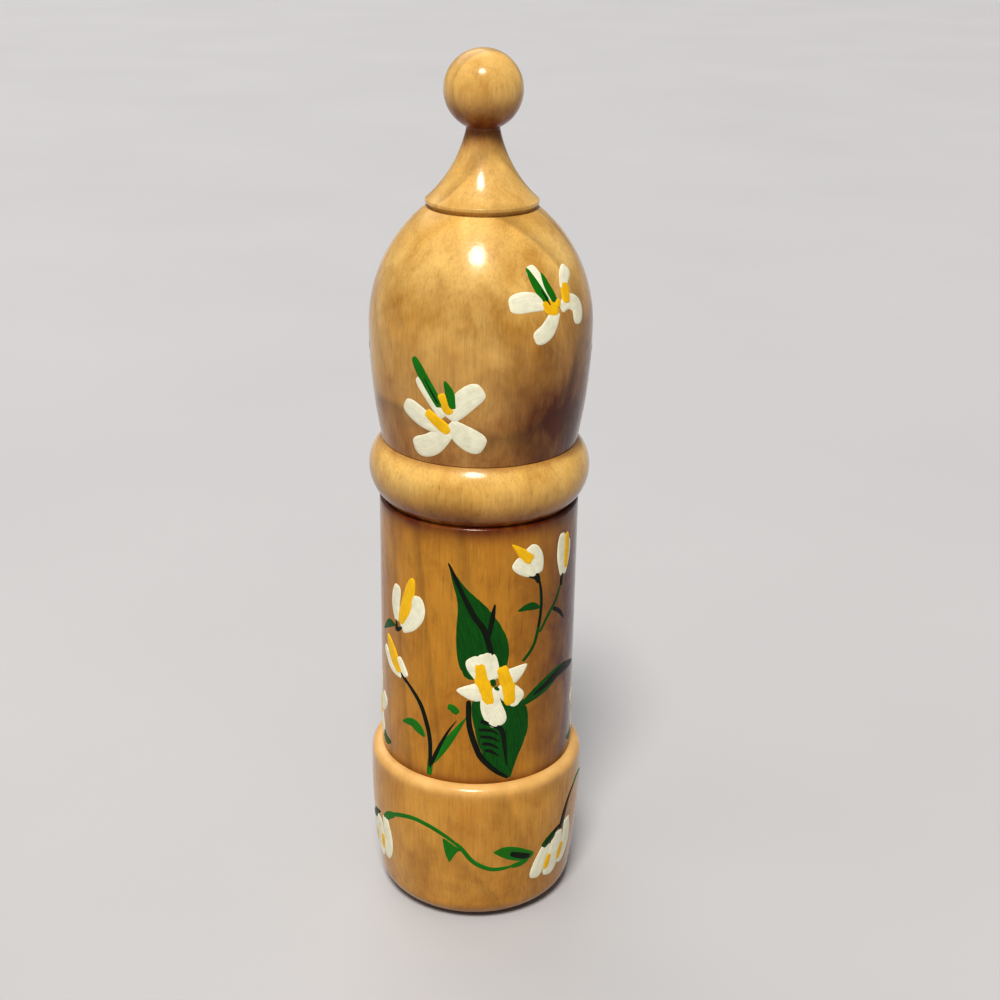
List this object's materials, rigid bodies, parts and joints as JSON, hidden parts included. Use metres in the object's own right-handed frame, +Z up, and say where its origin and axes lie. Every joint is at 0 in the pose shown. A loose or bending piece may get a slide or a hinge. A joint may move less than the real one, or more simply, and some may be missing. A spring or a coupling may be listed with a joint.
{
  "type": "needle case",
  "caption": "Turned wooden needle case shaped like a domed tower, with a lift-off cap, a hollow tube for sewing needles and painted flowers.",
  "frame": {"origin": "centre of the foot's flat underside, on the surface it stands on", "axes": "+Z up along the turning axis, from the foot to the ball; -Y is the side with the big leaf and the white flower"},
  "size_m": [0.0278, 0.0278, 0.11],
  "materials": {
    "foot_wood": "clear glossy lacquer over turned fine-grained hardwood, warm orange tan",
    "tube_wood": "clear glossy lacquer over turned fine-grained hardwood, ochre",
    "ring_wood": "clear glossy lacquer over turned fine-grained hardwood, pale golden",
    "dome_wood": "clear glossy lacquer over turned fine-grained hardwood, golden tan",
    "finial_wood": "clear glossy lacquer over turned fine-grained hardwood, pale golden",
    "needle_steel": "polished nickel-plated steel",
    "white_paint": "glossy cream-white brushed enamel",
    "yellow_paint": "glossy golden-yellow brushed enamel",
    "green_paint": "glossy leaf-green brushed enamel",
    "dark_paint": "glossy green-black brushed enamel"
  },
  "bodies": {
    "case": {"base_cup": "foot_wood", "case_tube": "tube_wood"},
    "cap": {"cap_ring": "ring_wood", "cap_dome": "dome_wood", "finial": "finial_wood"},
    "needles": {"needle_darner_long": "needle_steel", "needle_darner_short": "needle_steel", "needle_tapestry": "needle_steel", "needle_sharp_long": "needle_steel", "needle_sharp_short": "needle_steel", "needle_between": "needle_steel"}
  },
  "joints": [
    {"name": "cap_lift", "type": "slide", "parent": "case", "child": "cap", "axis": [0, 0, 1], "range_m": [0, 0.045]},
    {"name": "needles_slide", "type": "slide", "parent": "case", "child": "needles", "axis": [0, 0, 1], "range_m": [0, 0.022]}
  ]
}
